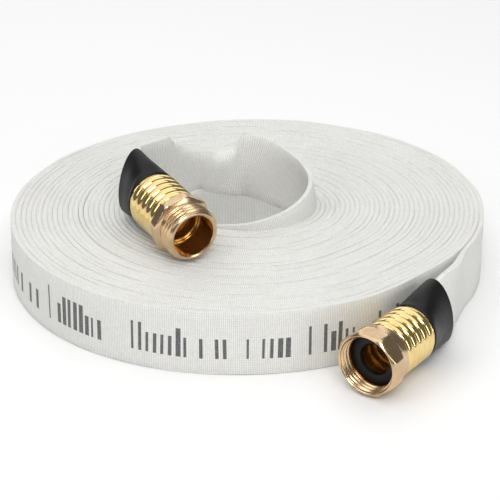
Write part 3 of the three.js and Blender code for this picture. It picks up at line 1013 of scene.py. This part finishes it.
def brass_material(name, axis, colour, deep, rough_low, rough_high, brush):
    """Brass with fine marks round the turning axis and a little uneven tone."""
    s = Shader(name)
    place = object_place(s)
    station = s.add("ShaderNodeVectorMath", operation="DOT_PRODUCT")
    s.feed(station.inputs[0], place)
    station.inputs[1].default_value = axis.along
    marks = s.add("ShaderNodeTexNoise", noise_dimensions="1D")
    s.feed(marks.inputs["W"], station.outputs["Value"])
    marks.inputs["Scale"].default_value = 4200
    marks.inputs["Detail"].default_value = 3
    tone = s.noise(place, 140, 4)
    s.set("Base Color", s.mix(s.ramp(tone, 0.35, 0.7), colour, deep))
    s.set("Metallic", 1.0)
    s.set("Roughness", s.ramp(tone, 0.3, 0.75, rough_low, rough_high))
    s.set("Normal", s.bump(marks.outputs["Fac"], brush))
    return s.material


def give(material, *pieces):
    for piece in pieces:
        piece.data.materials.clear()
        piece.data.materials.append(material)


# ---- Building the pieces ------------------------------------------------------------------------

hose_piece, hose_length, printed = build_hose()
male_cuff = build_cuff("male_rubber_cuff", MALE_CUFF_LINE, MALE_OVAL, "male_cuff")
female_cuff = build_cuff("female_rubber_cuff", FEMALE_CUFF_LINE, FEMALE_OVAL, "female_cuff")

male_ferrule = build_ferrule("male_ferrule_brass", MALE, "male_ferrule")
female_ferrule = build_ferrule("female_ferrule_brass", FEMALE, "female_ferrule")
male_stem = build_stem("male_stem_brass", MALE, "male_stem")
female_stem = build_stem("female_stem_brass", FEMALE, "female_stem", has_flange=True)
male_body = build_male_body()
swivel_nut = build_swivel_nut()
washer = build_washer()

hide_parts("male_ferrule")
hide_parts("female_ferrule")
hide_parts("male_stem")
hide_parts("female_stem")
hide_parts("male_body")
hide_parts("female_swivel_nut")
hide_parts("female_washer")

give(jacket_material(printed), hose_piece)
cuff_rubber = matt_material("cuff_rubber", (0.003, 0.003, 0.003, 1), (0.007, 0.007, 0.007, 1), 0.38, 0.52)
washer_rubber = matt_material("washer_rubber", (0.004, 0.004, 0.004, 1), (0.008, 0.008, 0.008, 1), 0.45, 0.6)
give(cuff_rubber, male_cuff, female_cuff)
give(washer_rubber, washer)
BRIGHT, BRIGHT_DEEP = (0.88, 0.68, 0.32, 1), (0.82, 0.6, 0.25, 1)
PINK, PINK_DEEP = (0.74, 0.54, 0.33, 1), (0.6, 0.42, 0.25, 1)
DRAWN, DRAWN_DEEP = (0.82, 0.54, 0.2, 1), (0.76, 0.47, 0.16, 1)
for axis, side, ferrule, stem, body in (
    (MALE, "male", male_ferrule, male_stem, male_body),
    (FEMALE, "female", female_ferrule, female_stem, swivel_nut),
):
    give(brass_material(side + "_bright_brass", axis, BRIGHT, BRIGHT_DEEP, 0.1, 0.14, 0.002 * MM), ferrule)
    give(brass_material(side + "_machined_brass", axis, PINK, PINK_DEEP, 0.2, 0.27, 0.006 * MM), body)
    give(brass_material(side + "_drawn_brass", axis, DRAWN, DRAWN_DEEP, 0.14, 0.2, 0.003 * MM), stem)

clamped_jacket = matt_material("clamped_jacket", (0.6, 0.59, 0.56, 1), (0.7, 0.69, 0.66, 1), 0.7, 0.8)
give(clamped_jacket, frame["nodes"]["male_hose_end"], frame["nodes"]["female_hose_end"])
give(liner_material(), frame["nodes"]["male_liner_end"], frame["nodes"]["female_liner_end"])


# ---- Stage --------------------------------------------------------------------------------------


FLOOR_SIZE = 4.0
FLOOR_GAP = 0.05 * MM
WORLD_STRENGTH = 0.16


def build_floor():
    corner = FLOOR_SIZE / 2
    mesh = bpy.data.meshes.new("studio_floor")
    mesh.from_pydata(
        [(-corner, -corner, 0), (corner, -corner, 0), (corner, corner, 0), (-corner, corner, 0)],
        [],
        [(0, 1, 2, 3)],
    )
    floor = bpy.data.objects.new("studio_floor", mesh)
    floor.location.z = -FLOOR_GAP
    bpy.context.scene.collection.objects.link(floor)
    s = Shader("studio_floor")
    s.set("Base Color", (0.92, 0.92, 0.92, 1))
    s.set("Roughness", 0.9)
    give(s.material, floor)


def add_softbox(name, place, size, energy):
    light = bpy.data.lights.new(name, "AREA")
    light.shape = "RECTANGLE"
    light.size, light.size_y = size
    light.energy = energy
    lamp = bpy.data.objects.new(name, light)
    aim = Vector((0, 0, 0.02))
    lamp.matrix_world = Matrix.Translation(place) @ (
        (aim - Vector(place)).to_track_quat("-Z", "Y").to_matrix().to_4x4()
    )
    bpy.context.scene.collection.objects.link(lamp)


def light_the_stage():
    """Soft lights above, behind, in front and at both sides, with darker gaps between them for the
    brass to show."""
    world = bpy.data.worlds.new("studio")
    bpy.context.scene.world = world
    world.use_nodes = True
    background = world.node_tree.nodes["Background"]
    background.inputs["Color"].default_value = (1, 1, 1, 1)
    background.inputs["Strength"].default_value = WORLD_STRENGTH
    add_softbox("top_softbox", place=(-0.1, 0.1, 1.25), size=(2.0, 2.0), energy=14)
    add_softbox("back_softbox", place=(-0.3, 1.7, 0.85), size=(2.6, 0.9), energy=9)
    add_softbox("front_softbox", place=(0.15, -1.3, 1.25), size=(0.9, 0.5), energy=12)
    add_softbox("left_softbox", place=(-1.0, -0.7, 0.8), size=(0.7, 0.7), energy=3.5)
    add_softbox("right_softbox", place=(1.1, -0.9, 0.5), size=(0.5, 0.8), energy=4)
    bpy.context.scene.view_settings.view_transform = "Standard"
    bpy.context.scene.view_settings.look = "None"


build_floor()
light_the_stage()
